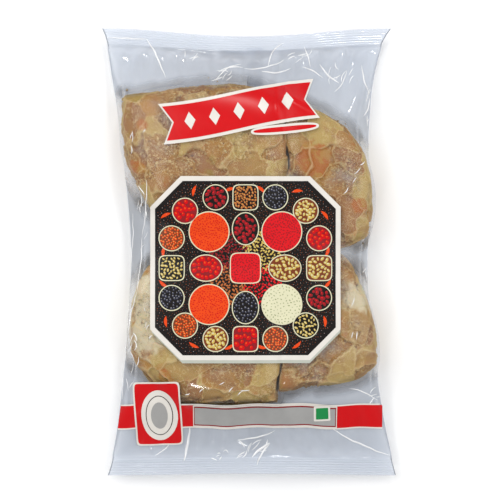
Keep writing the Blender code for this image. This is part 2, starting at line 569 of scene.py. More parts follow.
@dataclass
class Film:
    """The tube of film, welded flat at both ends and drawn tight round the blocks.

    Each wall is a grid of places: column 0 to columns across it, and row 0 to rows along it. The two
    walls share their first and last column, which are the side folds, so together they are a ring.

    Attributes:
        blocks: What is in the bag.
        length: The bag's length.
        fold_length: The unstretched length of the film along the side folds.
        upper_length: The same along the middle of the front.
        lower_length: The same along the middle of the back.
        flat_width: Half the way round the unstretched tube.
        waist: How far apart the side folds are, half way along.
        seal_band: How wide each seal is.
        fold_height: How high the side folds lie, half way along.
        clearance: How far the film keeps off the blocks.
        floor: How far it keeps off the table.
        blocks_end: The share of the half length that the blocks take up.
        slack_rows: The shares of the half length between which the film turns from snug to crisp.
        steepest: The most that the film rises, for each mm in from a seal.
        columns: How many columns of cells a wall has at first.
        rows: How many rows it has at first.
        top: The upper end.
        bottom: The lower end.
        seed: Picks the small unevenness that the film starts with.
        passes: How many passes the coarse grid gets, and the fine one.
        droop: How far the film sags in a pass.
        hold: How strongly the side folds keep their place.
        stiffness: How much of each bend a pass takes out.
        milky: How far off the blocks the film turns milky, and is wholly milky.
        rib_pitch: How far apart the ribs in the seals are.
        rib_height: How high they are.
        rib_rows: How many rows of faces a seal gets for each row of cells.
    """

    blocks: Sequence[Block]
    length: float = 279.0
    fold_length: float = 282.0
    upper_length: float = 285.0
    lower_length: float = 275.5
    flat_width: float = 183.6
    waist: float = 147.6
    seal_band: float = 11.0
    fold_height: float = 15.0
    clearance: float = 0.35
    floor: float = 0.45
    blocks_end: float = 0.7
    slack_rows: Place = (0.5, 0.85)
    steepest: float = 0.62
    columns: int = 74
    rows: int = 114
    top: End = End(SideFold(15.0, 1.2, 3.0, 20), SideFold(3.0, 1.5, 12.0, 9), 5.6, 15.0, 9.0)
    bottom: End = End(SideFold(11.0, 1.3, 3.5, 12), SideFold(18.0, 2.2, 0.0, 1), 1.5, 12.5, 8.0)
    seed: int = 11
    passes: tuple[int, int] = (420, 160)
    droop: float = 0.012
    hold: float = 0.03
    stiffness: float = 0.05
    milky: Place = (2.2, 9.0)
    rib_pitch: float = 1.6
    rib_height: float = 0.14
    rib_rows: int = 4

    def place(self) -> Array:
        """Lays the film out loosely round the blocks.

        Returns:
            The ring's places: rows, then round the ring, then x, y and z.
        """
        v = np.linspace(-1, 1, self.rows + 1)[:, None]
        u = np.linspace(-1, 1, self.columns + 1)[None, :]
        share = abs(v)
        ends = [self.bottom, self.top]
        pick = (v > 0).astype(float)

        def blend(read: Callable[[End], Array]) -> Array:
            """What the lower end says in the lower half, and what the upper end says in the upper half."""
            return (1 - pick) * read(ends[0]) + pick * read(ends[1])

        left = -blend(lambda e: e.left.half_width(self.waist, share))
        right = blend(lambda e: e.right.half_width(self.waist, share))
        dip = blend(lambda e: e.dip)
        x = (left + right) / 2 + (right - left) / 2 * u
        y = v * self.length / 2 - np.sign(v) * dip * share**4 * (0.5 + 0.5 * np.cos(np.pi * u))
        middle, corner = blend(lambda e: e.middle_height), blend(lambda e: e.corner_height)
        seal = corner + (middle - corner) * np.cos(np.pi / 2 * u) ** 2
        seal = seal + 0.9 * np.sin(7.3 * u + 1.1 * pick + 0.4) * (1 - u**2) * share**6
        edge = self.fold_height + (seal - self.fold_height) * share**3
        ramp = np.clip((self.seal_start - share) / (self.seal_start - self.blocks_end), 0, 1)
        swell = ramp**0.9 * np.clip(1 - abs(u) ** 8, 0, 1) ** 0.4
        tallest = max(block.height + block.lift for block in self.blocks) + 1.5
        upper = np.stack(np.broadcast_arrays(x, y, edge + (tallest - edge) * swell + 0.1), 2)
        lower = np.stack(np.broadcast_arrays(x, y, edge + (self.floor - edge) * swell - 0.1), 2)
        ring = np.concatenate([upper, lower[:, -2:0:-1]], 1)
        ring[:, [0, self.columns], 2] = edge[:, [0, -1]]
        self.held = np.broadcast_to(share > self.seal_start, ring.shape[:2])[..., None]
        self.folds = np.stack([left[:, 0], right[:, 0]], 1)
        return ring

    @property
    def seal_start(self) -> float:
        """The share of the half length at which the seals begin."""
        return 1 - 2 * self.seal_band / self.length

    def rest_lengths(self) -> tuple[float, Array]:
        """The unstretched length of an edge round the ring, and of one along each column."""
        height = np.sin(np.pi * np.arange(2 * self.columns) / self.columns)
        wall = np.where(height > 0, self.upper_length, self.lower_length)
        along = self.fold_length + (wall - self.fold_length) * abs(height)
        return self.flat_width / self.columns, (along / self.rows)[None, :, None]

    def draw(self, ring: Array, first: tuple, second: tuple, rest: float | Array) -> None:
        """Pulls pairs of places to their distance apart. Where the film is snug it may close up."""
        gap = ring[second] - ring[first]
        length = np.maximum(np.sqrt((gap * gap).sum(2, keepdims=True)), 1e-6)
        pull = np.where(length > rest, 1.0, self.crisp[first]) * (1 - rest / length)
        free_first, free_second = self.free[first], self.free[second]
        pull = pull / np.maximum(free_first + free_second, 1)
        ring[first] += gap * pull * free_first
        ring[second] -= gap * pull * free_second

    def tighten(self, ring: Array) -> None:
        """One pass over every edge and diagonal of the film."""
        across, along = self.rest_lengths()
        diagonal = np.hypot(across, along)
        count = ring.shape[1]
        row, column = np.arange(self.rows + 1), np.arange(count)
        for odd in (0, 1):
            here, there = row[odd:-1:2], row[odd + 1 :: 2]
            self.draw(ring, np.ix_(here, column), np.ix_(there, column), along)
            one, two = column[odd::2], (column[odd::2] + 1) % count
            self.draw(ring, np.ix_(row, one), np.ix_(row, two), across)
            for step in (1, -1):
                self.draw(ring, np.ix_(here, column), np.ix_(there, (column + step) % count), diagonal)

    def keep_out(self, ring: Array) -> None:
        """Pushes the film off the blocks, off the table, and its two walls off each other.

        Args:
            ring: The film's places, which are changed.
        """
        flat = ring.reshape(-1, 3)
        for block in self.blocks:
            near = np.flatnonzero((abs(flat - block.middle) < block.half * 1.08 + 2).all(1))
            gauge, slope = block.gauge(flat[near])
            steep = np.sqrt((slope * slope).sum(1))
            inside = (1 - gauge) / steep + self.clearance
            deep = inside > 0
            flat[near[deep]] += slope[deep] * (inside[deep] / steep[deep])[:, None]
        upper = ring[:, 1 : self.columns]
        lower = ring[:, : self.columns : -1]
        short = np.maximum(0.25 - (upper[..., 2] - lower[..., 2]), 0) / 2
        upper[..., 2] += short
        lower[..., 2] -= short
        ring[..., 2] = np.maximum(ring[..., 2], self.floor)

    def soften(self, ring: Array, share: float) -> None:
        """Lets the film's stiffness take out the sharpest bends."""

        def bend(of: Array) -> Array:
            """How sharply each place is bent."""
            turned = np.zeros_like(of)
            turned += (np.roll(of, 1, 1) + np.roll(of, -1, 1)) / 2 - of
            turned[1:-1] += (of[:-2] + of[2:]) / 2 - of[1:-1]
            return turned

        ring -= share * bend(bend(ring)) * self.free

    def settle(self) -> None:
        """Lets the film shrink on to the blocks, first on a coarse grid and then on one twice as fine."""
        ring = self.place()
        self.free = (~self.held).astype(float)
        random = np.random.default_rng(self.seed)
        ring += random.normal(0, 0.25, ring.shape) * self.free
        for stage, passes in enumerate(self.passes):
            if stage:
                ring = self.refine(ring)
            pinned = ring.copy()
            self.free = (~self.held).astype(float)
            share = abs(np.linspace(-1, 1, self.rows + 1))
            crisp = 0.02 + 0.45 * smoothstep(*self.slack_rows, share)
            self.crisp = np.broadcast_to(crisp[:, None, None], self.free.shape)
            ends = np.where(np.arange(self.rows + 1) * 2 < self.rows, 0, self.rows)
            inward = (self.seal_start - share) * self.length / 2
            ceiling = ring[ends, :, 2] + self.steepest * np.maximum(inward, 0)[:, None] + 0.4
            for step in range(passes):
                ring[..., 2] -= self.droop * self.free[..., 0]
                ring[..., 2] = np.minimum(ring[..., 2], ceiling)
                for side, column in enumerate((0, self.columns)):
                    out = (self.folds[:, side] - ring[:, column, 0]) * self.free[:, column, 0]
                    ring[:, column, 0] += self.hold * out
                self.tighten(ring)
                self.soften(ring, self.stiffness)
                self.keep_out(ring)
                ring = np.where(self.held, pinned, ring)
            self.stretch_report(ring)
        self.ring = ring

    def stretch_report(self, ring: Array) -> None:
        """Logs how far the film is from its unstretched lengths."""
        across, along = self.rest_lengths()
        round_ring = np.linalg.norm(np.roll(ring, -1, 1) - ring, axis=2) / across
        lengthwise = np.linalg.norm(ring[1:] - ring[:-1], axis=2) / along[..., 0]
        for way, found in (("across", round_ring), ("along", lengthwise)):
            LOG.info("film: %s %.3f to %.3f of its own length", way, *np.percentile(found, [2, 98]))

    def refine(self, ring: Array) -> Array:
        """Cuts each cell of the film in four.

        Args:
            ring: The film's places.

        Returns:
            The places of the finer film.
        """
        wide = np.empty((ring.shape[0], ring.shape[1] * 2, 3))
        wide[:, ::2] = ring
        wide[:, 1::2] = (ring + np.roll(ring, -1, 1)) / 2
        fine = np.empty((ring.shape[0] * 2 - 1, wide.shape[1], 3))
        fine[::2] = wide
        fine[1::2] = (wide[1:] + wide[:-1]) / 2
        self.columns, self.rows = self.columns * 2, self.rows * 2
        share = abs(np.linspace(-1, 1, self.rows + 1))
        self.held = np.broadcast_to((share > self.seal_start)[:, None], fine.shape[:2])[..., None]
        folds = np.empty((self.rows + 1, 2))
        folds[::2] = self.folds
        folds[1::2] = (self.folds[1:] + self.folds[:-1]) / 2
        self.folds = folds
        return fine

    def crimp_tree(self) -> Tree:
        """The tree that presses ribs across the seals, by each place's distance in from its end."""
        tree, given = geometry_tree("crimped_ribs", "Pitch", "Height", "Patch")
        turns = maths(tree, "DIVIDE", named(tree, "inward"), given["Pitch"])
        wave = maths(tree, "SINE", maths(tree, "MULTIPLY", turns, math.tau))
        # The jaws press harder in some patches than in others.
        patches = result(tree, "ShaderNodeTexNoise", {"Scale": given["Patch"], "Detail": 1.0})
        firm = result(tree, "ShaderNodeMapRange", {0: patches, 1: 0.4, 2: 0.62, 3: 0.35, 4: 1.0})
        height = maths(tree, "MULTIPLY", maths(tree, "MULTIPLY", wave, given["Height"]), firm)
        height = maths(tree, "MULTIPLY", height, named(tree, "ribbed"))
        rise = result(tree, "ShaderNodeCombineXYZ", {2: height})
        moved = result(tree, "GeometryNodeSetPosition", {"Geometry": given[0], "Offset": rise})
        return finish_tree(tree, given, moved)

    def fine_rows(self) -> Array:
        """The rows of the finished film: as they settled between the seals, and closer in them."""
        share = abs(np.linspace(-1, 1, self.rows + 1))
        rows = [0.0]
        for row in range(self.rows):
            steps = self.rib_rows if min(share[row], share[row + 1]) > self.seal_start else 1
            rows.extend(row + np.arange(1, steps + 1) / steps)
        return np.array(rows)

    def build(self, material: Material) -> Piece:
        """Makes the film's mesh, closed at both ends, with its ribs.

        Args:
            material: Its material, which reads veil.

        Returns:
            The film, as a piece.
        """
        rows = self.fine_rows()
        low = np.minimum(rows.astype(int), self.rows - 1)
        part = (rows - low)[:, None, None]
        ring = self.ring[low] * (1 - part) + self.ring[low + 1] * part
        count = ring.shape[1]
        number = np.arange(ring.shape[0] * count).reshape(ring.shape[:2])
        near, far = number, np.roll(number, -1, 1)
        faces = np.stack([near[:-1], far[:-1], far[1:], near[1:]], 2).reshape(-1, 4)
        caps = []
        for row, turn in ((0, 1), (-1, -1)):
            upper = number[row, : self.columns + 1]
            lower = number[row, [0, *range(count - 1, self.columns - 1, -1)]]
            cap = np.stack([upper[:-1], lower[:-1], lower[1:], upper[1:]], 1)
            caps.append(cap[:, ::turn])
        mesh = mesh_of("film", ring.reshape(-1, 3), np.concatenate([faces, *caps]))
        blocks = np.concatenate([block.skin for block in self.blocks])
        set_attribute(mesh, "veil", smoothstep(*self.milky, nearest_gaps(ring.reshape(-1, 3), blocks)))
        inward = (1 - abs(rows / self.rows * 2 - 1)) * self.length / 2
        ribbed = smoothstep(0.3, 0.9, inward) * smoothstep(self.seal_band - 0.4, self.seal_band - 1.2, inward)
        for name, values in (("inward", inward * MM), ("ribbed", ribbed)):
            set_attribute(mesh, name, np.repeat(values, count))
        values = {"Pitch": self.rib_pitch * MM, "Height": self.rib_height * MM, "Patch": 45.0}
        values["Material"] = material
        return new_object("film", run_tree("film", self.crimp_tree(), mesh, values), material)


@dataclass
class PinchedFolds:
    """The film's sharpest creases, each pinched up into a narrow rib whose mostly white finish is a painted
    highlight.

    Attributes:
        press: The press, which knows where the front of the film is.
        seed: Picks the short creases.
        sink: How far a rib is set into the film.
        rise: How high a rib is, as a share of its width.
    """

    press: "Press"
    seed: int = 8
    sink: float = 0.05
    rise: float = 0.45

    def tree(self) -> Tree:
        """The tree that draws a small ridged profile along every line of edges, as wide as its points say."""
        tree, given = geometry_tree("pinched_fold_glints", "Rise", "Sink")
        curve = result(tree, "GeometryNodeMeshToCurve", {"Mesh": given[0]})
        profile = result(tree, "GeometryNodeCurvePrimitiveCircle", {"Resolution": 6, "Radius": 0.5})
        flat = result(tree, "ShaderNodeCombineXYZ", {0: 1.0, 1: given["Rise"], 2: 1.0})
        profile = result(tree, "GeometryNodeTransform", {"Geometry": profile, "Scale": flat})
        inputs = {"Curve": curve, "Profile Curve": profile, "Scale": named(tree, "width"), "Fill Caps": True}
        ribs = result(tree, "GeometryNodeCurveToMesh", inputs)
        drop = result(tree, "ShaderNodeCombineXYZ", {2: given["Sink"]})
        sunk = add_node(tree, "GeometryNodeSetPosition", {"Geometry": ribs, "Offset": drop})
        return finish_tree(tree, given, sunk.outputs[0])

    def build(self, material: Material) -> Piece:
        """Makes all the folds, as one piece.

        Args:
            material: The material of a pinched fold, whose white is a painted highlight along the crease.

        Returns:
            The piece.
        """
        random = np.random.default_rng(self.seed)
        creases = [*CREASES, *(crease for crinkle in CRINKLES for crease in crinkle.creases(random))]
        points, edges, widths = [], [], []
        for crease in creases:
            places = [self.press.drop(x * MM, y * MM) for x, y in crease.places()]
            places = [place[0] + place[1] * 0.1 * MM for place in places if place]
            start = len(points)
            points.extend(places)
            edges.extend((start + i, start + i + 1) for i in range(len(places) - 1))
            share = np.linspace(0, 1, len(places))
            widths.extend(crease.width * MM * (0.12 + 0.88 * np.sin(share * math.pi) ** 0.7))
        lines = bpy.data.meshes.new("fold_lines")
        lines.from_pydata(points, edges, [])
        set_attribute(lines, "width", np.array(widths))
        values = {"Rise": self.rise, "Sink": -self.sink * MM, "Material": material}
        mesh = run_tree("pinched_fold_glints", self.tree(), lines, values)
        mesh.shade_smooth()
        return new_object("pinched_fold_glints", mesh, material)


@dataclass
class BackSeam:
    """The seam along the back of the bag, where the film was joined into a tube and folded over.

    Attributes:
        film: The film.
        middle: How far the seam is off the bag's middle line.
        width: How wide it is.
        length: How long it is.
        gap: How far it lies under the film.
        thickness: How thick it is.
        cell: How large its faces are.
        veil: How milky it is.
    """

    film: Piece
    middle: float = 4.0
    width: float = 10.0
    length: float = 254.0
    gap: float = 0.12
    thickness: float = 0.12
    cell: float = 1.6
    veil: float = 0.6

    def build(self, material: Material) -> Piece:
        """Makes the seam: a strip that follows the back of the film a little below it.

        Args:
            material: The film's material.

        Returns:
            The seam, as a piece.
        """
        back = surface_of(self.film)
        strip = bmesh.new()
        across, along = round(self.width / self.cell), round(self.length / self.cell)
        bmesh.ops.create_grid(strip, x_segments=across, y_segments=along, size=0.5)
        for vert in strip.verts:
            x = self.middle + vert.co.x * self.width + 0.5 * math.sin(vert.co.y * 9)
            y = vert.co.y * self.length
            hit = back.ray_cast(Vector((x * MM, y * MM, -0.1)), Vector((0, 0, 1)))[0]
            vert.co = Vector((x * MM, y * MM, max(0.15 * MM, hit.z - self.gap * MM)))
        bmesh.ops.reverse_faces(strip, faces=strip.faces[:])
        bmesh.ops.solidify(strip, geom=strip.faces[:], thickness=-self.thickness * MM)
        mesh = bpy.data.meshes.new("back_seam")
        strip.to_mesh(mesh)
        strip.free()
        mesh.shade_smooth()
        set_attribute(mesh, "veil", np.full(len(mesh.vertices), self.veil))
        return new_object("back_seam", mesh, material)


@dataclass
class Crumbs:
    """Crumbs that have come off the blocks and lie in the bag beside them.

    Attributes:
        blocks: The blocks.
        film: The film.
        cell: How wide the squares of ground are that crumbs may lie on.
        reach: Between which gauges of the nearest block they lie.
        strewn: The level of the noise above which a place has crumbs.
        headroom: How far apart the film's walls are, at least, where crumbs lie.
        over: How far the crumbs' middles lie over the lower wall.
        spacing: How far apart crumbs are, at least.
        most: The most crumbs in a square metre.
        size: How large the smallest and the largest are, from middle to edge.
        seed: Picks where they lie.
        looks: What the material reads on all of them.
    """

    blocks: Sequence[Block]
    film: Piece
    cell: float = 3.0
    reach: Place = (1.02, 1.12)
    strewn: float = 0.22
    headroom: float = 7.0
    over: float = 1.2
    spacing: float = 2.5
    most: float = 6e4
    size: Place = (0.25, 1.0)
    seed: int = 4
    looks = {"wet": 0.3, "rough": 0.5, "depth": 1.0, "tone": 0.6, "border": 0.0, "syrup": 0.0, "bloom": 0.2}

    def ground(self) -> bpy.types.Mesh:
        """The floor of the bag beside the blocks, as loose squares."""
        film = surface_of(self.film)
        ground = bmesh.new()
        for x in np.arange(-84, 84, self.cell):
            for y in np.arange(-112, 116, self.cell):
                gauges = [block.gauge(np.array([[x, y, block.middle[2]]]))[0][0] for block in self.blocks]
                strewn = noise.noise(Vector((x / 15, y / 15, self.seed)))
                if not self.reach[0] < min(gauges) < self.reach[1] or strewn < self.strewn:
                    continue
                low = film.ray_cast(Vector((x * MM, y * MM, -0.1)), Vector((0, 0, 1)))[0]
                high = film.ray_cast(Vector((x * MM, y * MM, 0.2)), Vector((0, 0, -1)))[0]
                if low is None or high is None or high.z - low.z < self.headroom * MM:
                    continue
                half = self.cell * MM / 2
                corners = [(-half, -half), (half, -half), (half, half), (-half, half)]
                places = [(x * MM + a, y * MM + b, low.z + self.over * MM) for a, b in corners]
                ground.faces.new([ground.verts.new(place) for place in places])
        mesh = bpy.data.meshes.new("crumb_ground")
        ground.to_mesh(mesh)
        ground.free()
        return mesh

    def tree(self) -> Tree:
        """The tree that scatters crumbs over the ground."""
        tree, given = geometry_tree("crumbs", "Spacing", "Smallest", "Largest", whole=("Seed",))
        crumb = result(tree, "GeometryNodeMeshIcoSphere", {"Radius": 1.0, "Subdivisions": 2})
        jags = add_node(tree, "ShaderNodeTexNoise", {"Scale": 1.3, "Detail": 2.0}).outputs["Color"]
        jag = add_node(tree, "ShaderNodeVectorMath", {0: jags, 1: (0.5, 0.5, 0.5)}, operation="SUBTRACT")
        broken = add_node(tree, "GeometryNodeSetPosition", {"Geometry": crumb, "Offset": jag.outputs[0]})
        turns = {1: (math.tau,) * 3, "Seed": given["Seed"]}
        turn = add_node(tree, "FunctionNodeRandomValue", turns, data_type="FLOAT_VECTOR")
        inputs = {
            "Points": scatter(tree, given, self.most),
            "Instance": broken.outputs[0],
            "Rotation": turn.outputs[0],
            "Scale": random_size(tree, given["Seed"], given["Smallest"], given["Largest"]),
        }
        crumbs = add_node(tree, "GeometryNodeInstanceOnPoints", inputs)
        return finish_tree(tree, given, crumbs.outputs[0])

    def build(self, material: Material) -> Piece:
        """Makes the crumbs, as one piece."""
        values = {
            "Spacing": self.spacing * MM,
            "Smallest": self.size[0] * MM,
            "Largest": self.size[1] * MM,
            "Seed": self.seed,
            "Material": material,
        }
        mesh = run_tree("crumbs", self.tree(), self.ground(), values)
        for name, value in self.looks.items():
            set_attribute(mesh, name, np.full(len(mesh.vertices), value))
        return new_object("crumbs", mesh, material)


# ---------------------------------------------------------------- finishes


@dataclass(frozen=True)
class JaggeryFinish:
    """Solid cane jaggery, boiled and set, then broken into blocks.

    Setting in batches gives its patches of tan, honey and straw. Where it broke it is dull, sugary and
    pitted, with pale crystal along the edges of the chips. Where the film lies on it, it has drawn
    moisture and is smoother and glossier.
    """

    name: str = "solid_cane_jaggery"
    tan: str = "9f7135"
    honey: str = "ab7b2b"
    pale: str = "b9a05c"
    straw: str = "9d842c"
    rosy: str = "916034"
    amber: str = "a85c00"
    # A dark brown for the pits and veins, and for the painted shade in the deepest hollows.
    dark_speckle_and_shade: str = "4c2b15"
    crystal: str = "d8c18c"
    sugar: str = "dfd7b6"

    def build(self) -> Material:
        """Makes the material.

        Returns:
            The material. It reads the tone, border, rough, depth, wet, syrup and bloom of each vertex.
        """
        material, tree, shader = new_material(self.name)
        place = add_node(tree, "ShaderNodeTexCoord").outputs["Object"]
        wet, rough, depth, tone, border, syrup, bloom = (
            add_node(tree, "ShaderNodeAttribute", attribute_name=name).outputs["Fac"]
            for name in ("wet", "rough", "depth", "tone", "border", "syrup", "bloom")
        )

        def step(value: Socket, low: float, high: float) -> Socket:
            """A soft step between two levels."""
            inputs = {0: value, 1: low, 2: high}
            return result(tree, "ShaderNodeMapRange", inputs, interpolation_type="SMOOTHSTEP")

        def noisy(size: float, detail: float, roughness: float) -> Socket:
            """Noise of one size."""
            inputs = {"Vector": place, "Scale": 1 / (size * MM), "Detail": detail, "Roughness": roughness}
            return add_node(tree, "ShaderNodeTexNoise", inputs).outputs["Fac"]

        def cloud(size: float, detail: float, low: float, high: float) -> Socket:
            """Patches of one size, stepped between two levels of the noise."""
            return step(noisy(size, detail, 0.62), low, high)

        def blend(share: Socket, one: object, two: object) -> Socket:
            """Mixes two colours."""
            return add_node(tree, "ShaderNodeMix", {0: share, 6: one, 7: two}, data_type="RGBA").outputs[2]

        def times(one: object, two: object) -> Socket:
            """Multiplies two numbers."""
            return maths(tree, "MULTIPLY", one, two)

        def vein(size: float, width: float) -> Socket:
            """Thin wandering lines of one spacing."""
            off = maths(tree, "SUBTRACT", noisy(size, 5.0, 0.6), 0.5)
            return step(maths(tree, "ABSOLUTE", off), width, 0.0)

        colour = blend(cloud(22, 3, 0.4, 0.62), linear(self.tan), linear(self.honey))
        glassy = blend(cloud(7, 3, 0.45, 0.6), linear(self.amber), linear(self.honey))
        for share, strength, over in (
            # Each chip has a tone of its own, and the batches run through all of them.
            (step(tone, 0.52, 0.56), 0.75, linear(self.pale)),
            (step(tone, 0.74, 0.78), 0.7, linear(self.tan)),
            (step(tone, 0.88, 0.92), 0.6, linear(self.straw)),
            (step(tone, 0.2, 0.14), 0.7, linear(self.rosy)),
            (cloud(16, 5, 0.5, 0.66), 0.55, linear(self.rosy)),
            (cloud(9, 4, 0.56, 0.7), 0.55, linear(self.straw)),
            (cloud(4.5, 5, 0.48, 0.7), times(rough, 0.7), linear(self.rosy)),
            (cloud(15, 2, 0.58, 0.62), times(wet, 0.5), linear(self.amber)),
            # Sugar blooms on old faces, and crystals and pits speckle the fresh breaks.
            (bloom, 0.7, linear(self.sugar)),
            (vein(12, 0.012), 0.55, linear(self.crystal)),
            (cloud(1.5, 3, 0.52, 0.64), times(rough, 0.7), linear(self.crystal)),
            (cloud(2.4, 4, 0.54, 0.7), times(rough, 0.75), linear(self.dark_speckle_and_shade)),
            (vein(7, 0.01), times(rough, 0.5), linear(self.dark_speckle_and_shade)),
            # Clear set syrup, pale chipped edges, and painted shade down in the hollows.
            (syrup, 0.9, glassy),
            (step(border, 0.35, 0.95), 0.4, linear(self.crystal)),
            # Painted shade: the deeper the surface lies under the outer form, the darker it is.
            (step(depth, 2.8, 6.5), 0.6, linear(self.dark_speckle_and_shade)),
        ):
            colour = blend(times(share, strength), colour, over)

        # A moist skin of syrup gives the soft uneven shine, and the dry breaks stay dull.
        tree.links.new(colour, shader.inputs["Base Color"])
        dry = result(tree, "ShaderNodeMapRange", {0: wet, 1: 0.0, 2: 1.0, 3: 0.6, 4: 0.32})
        tree.links.new(dry, shader.inputs["Roughness"])
        strength = result(tree, "ShaderNodeMapRange", {0: rough, 3: 0.15, 4: 0.9})
        inputs = {"Strength": strength, "Distance": 0.7 * MM, "Height": noisy(1.5, 4.0, 0.65)}
        bump = add_node(tree, "ShaderNodeBump", inputs)
        tree.links.new(bump.outputs[0], shader.inputs["Normal"])
        shader.inputs["Subsurface Weight"].default_value = 0.12
        shader.inputs["Subsurface Scale"].default_value = 0.002
        return material


def layer_film(
    tree: Tree, clear: dict, milk: str, share: object, skin: dict, shine: object
) -> None:
    """Turns a material into thin film: a clear layer with some milk in it, under a glossy skin.

    Args:
        tree: The material's tree.
        clear: What the clear layer is given.
        milk: The colour of the milk.
        share: How much of the layer is milk.
        skin: What the glossy skin is given.
        shine: How much the skin reflects.
    """
    tree.nodes.remove(tree.nodes["Principled BSDF"])
    through = result(tree, "ShaderNodeBsdfTransparent", clear)
    white = result(tree, "ShaderNodeBsdfDiffuse", {"Color": linear(milk)})
    body = result(tree, "ShaderNodeMixShader", {0: share, 1: through, 2: white})
    gloss = result(tree, "ShaderNodeBsdfGlossy", skin)
    whole = result(tree, "ShaderNodeMixShader", {0: shine, 1: body, 2: gloss})
    tree.links.new(whole, tree.nodes["Material Output"].inputs["Surface"])


@dataclass(frozen=True)
class FilmFinish:
    """Clear cast polypropylene film, chilled on a smooth roll.

    The roll leaves it glossy. Pressed on something it is all but invisible, and where it stands off it
    looks milky, the more so at a slant.
    """

    name: str = "clear_polypropylene_film"
    milk: str = "dce3ee"
    most_milk: float = 0.41
    roughness: float = 0.08
    most_gloss: float = 0.16
    tint: tuple[float, ...] = (0.955, 0.963, 0.978, 1)
    index: float = 1.4

    def build(self) -> Material:
        """Makes the material. It reads the veil of each vertex."""
        material, tree, _ = new_material(self.name)
        place = add_node(tree, "ShaderNodeTexCoord").outputs["Object"]
        stretched = result(tree, "ShaderNodeMapping", {"Vector": place, "Scale": (1.0, 0.45, 1.0)})
        inputs = {"Vector": stretched, "Scale": 1 / (7 * MM), "Detail": 3.0}
        wrinkles = add_node(tree, "ShaderNodeTexNoise", inputs).outputs["Fac"]
        inputs = {"Strength": 0.5, "Distance": 0.25 * MM, "Height": wrinkles}
        bump = result(tree, "ShaderNodeBump", inputs)
        veil = add_node(tree, "ShaderNodeAttribute", attribute_name="veil").outputs["Fac"]
        share = result(tree, "ShaderNodeMapRange", {0: veil, 4: self.most_milk})
        fresnel = result(tree, "ShaderNodeFresnel", {"IOR": self.index, "Normal": bump})
        share = maths(tree, "ADD", share, maths(tree, "MULTIPLY", fresnel, veil), use_clamp=True)
        shine = maths(tree, "MINIMUM", fresnel, self.most_gloss)
        skin = {"Roughness": self.roughness, "Normal": bump}
        layer_film(tree, {"Color": self.tint}, self.milk, share, skin, shine)
        return material


@dataclass(frozen=True)
class FoldGlintFinish:
    """The same film, pinched double, painted mostly white as the highlight along the crease, and glossy where
    it turns to the light.
    """

    name: str = "pinched_film_painted_glint"
    # The white and its share are the painted glint along each crease.
    white: str = "ffffff"
    share: float = 0.72
    shine: float = 0.14

    def build(self) -> Material:
        """Makes the material."""
        material, tree, _ = new_material(self.name)
        layer_film(tree, {}, self.white, self.share, {"Roughness": 0.12}, self.shine)
        return material


@dataclass(frozen=True)
class PaperFinish:
    """A matt white paper sweep, whose uncoated fibres spread the light evenly."""

    name: str = "white_paper_sweep"
    colour: str = "ffffff"
    roughness: float = 0.9

    def build(self) -> Material:
        """Makes the material."""
        material, _, shader = new_material(self.name)
        shader.inputs["Base Color"].default_value = linear(self.colour)
        shader.inputs["Roughness"].default_value = self.roughness
        return material


# ---------------------------------------------------------------- the printing


class Ink(Enum):
    """The inks, each with its record slot and its colour."""

    WHITE = ("white_ink", "e6e1d9")
    RED = ("red_ink", "d0060f")
    BLACK = ("black_ink", "120d0b")
    GREEN = ("green_ink", "1c8a48")
    ORANGE = ("orange_ink", "ea4a14")
    CRIMSON = ("red_ink", "8e1c22")
    SCARLET = ("red_ink", "dc1620")
    BROWN = ("brown_ink", "7a3b1e")
    TAN = ("brown_ink", "bb6b38")
    STRAW = ("cream_ink", "d3b862")
    CREAM = ("cream_ink", "e2dfbd")
    OLIVE = ("cream_ink", "8b9560")
    PALE = ("white_ink", "bdc0b4")
    GREY = ("white_ink", "a5a4a2")
    SLATE = ("black_ink", "35374a")

    @property
    def slot(self) -> str:
        """The record's material slot."""
        return self.value[0]

    def material(self) -> Material:
        """The ink's material, made once.

        It was laid by a gravure cylinder inside the film: thin and a little uneven in depth, with the
        film's own smooth gloss over it.
        """
        name = f"printed_ink_{self.name.lower()}"
        found = bpy.data.materials.get(name)
        if found:
            return found
        material, tree, shader = new_material(name)
        colour = linear(self.value[1])
        darker = (*(0.86 * share for share in colour[:3]), 1.0)
        place = add_node(tree, "ShaderNodeTexCoord").outputs["Object"]
        blots = result(tree, "ShaderNodeTexNoise", {"Vector": place, "Scale": 1 / (6 * MM), "Detail": 3.0})
        mix = add_node(tree, "ShaderNodeMix", {0: blots, 6: colour, 7: darker}, data_type="RGBA")
        tree.links.new(mix.outputs[2], shader.inputs["Base Color"])
        shader.inputs["Roughness"].default_value = 0.24
        shader.inputs["Specular IOR Level"].default_value = 0.16
        return material


class Fill(Enum):
    """What a bowl holds: its ground's ink, its grains', their shine's, and their spacing, length, width."""

    CHILLI = (Ink.SCARLET, Ink.CRIMSON, None, 1.25, 1.5, 0.6)
    PAPRIKA = (Ink.ORANGE, Ink.RED, None, 1.15, 1.3, 0.6)
    RICE = (Ink.CREAM, Ink.OLIVE, None, 1.6, 1.1, 0.5)
    PEPPER = (Ink.BLACK, Ink.SLATE, Ink.GREY, 1.5, 1.7, 1.6)
    BEANS = (Ink.BLACK, Ink.CRIMSON, Ink.SCARLET, 2.2, 3.4, 2.5)
    LENTILS = (Ink.BROWN, Ink.ORANGE, Ink.STRAW, 1.3, 1.7, 1.3)
    NUTS = (Ink.BROWN, Ink.STRAW, Ink.CREAM, 1.9, 3.1, 1.9)
    SEEDS = (Ink.BLACK, Ink.TAN, Ink.STRAW, 1.3, 2.0, 1.3)
    BERRIES = (Ink.CRIMSON, Ink.RED, Ink.ORANGE, 2.4, 3.6, 3.0)
    PIPS = (Ink.BLACK, Ink.STRAW, Ink.CREAM, 1.7, 2.3, 1.3)


@dataclass(frozen=True)
class Bowl:
    """One printed bowl.

    Attributes:
        x: Its middle, to the right of the panel's.
        y: Its middle, above the panel's.
        half_x: Half its width.
        half_y: Half its height.
        fill: What it holds.
        square: Whether it is a rounded square and not an oval.
    """

    x: float
    y: float
    half_x: float
    half_y: float
    fill: Fill
    square: bool = False


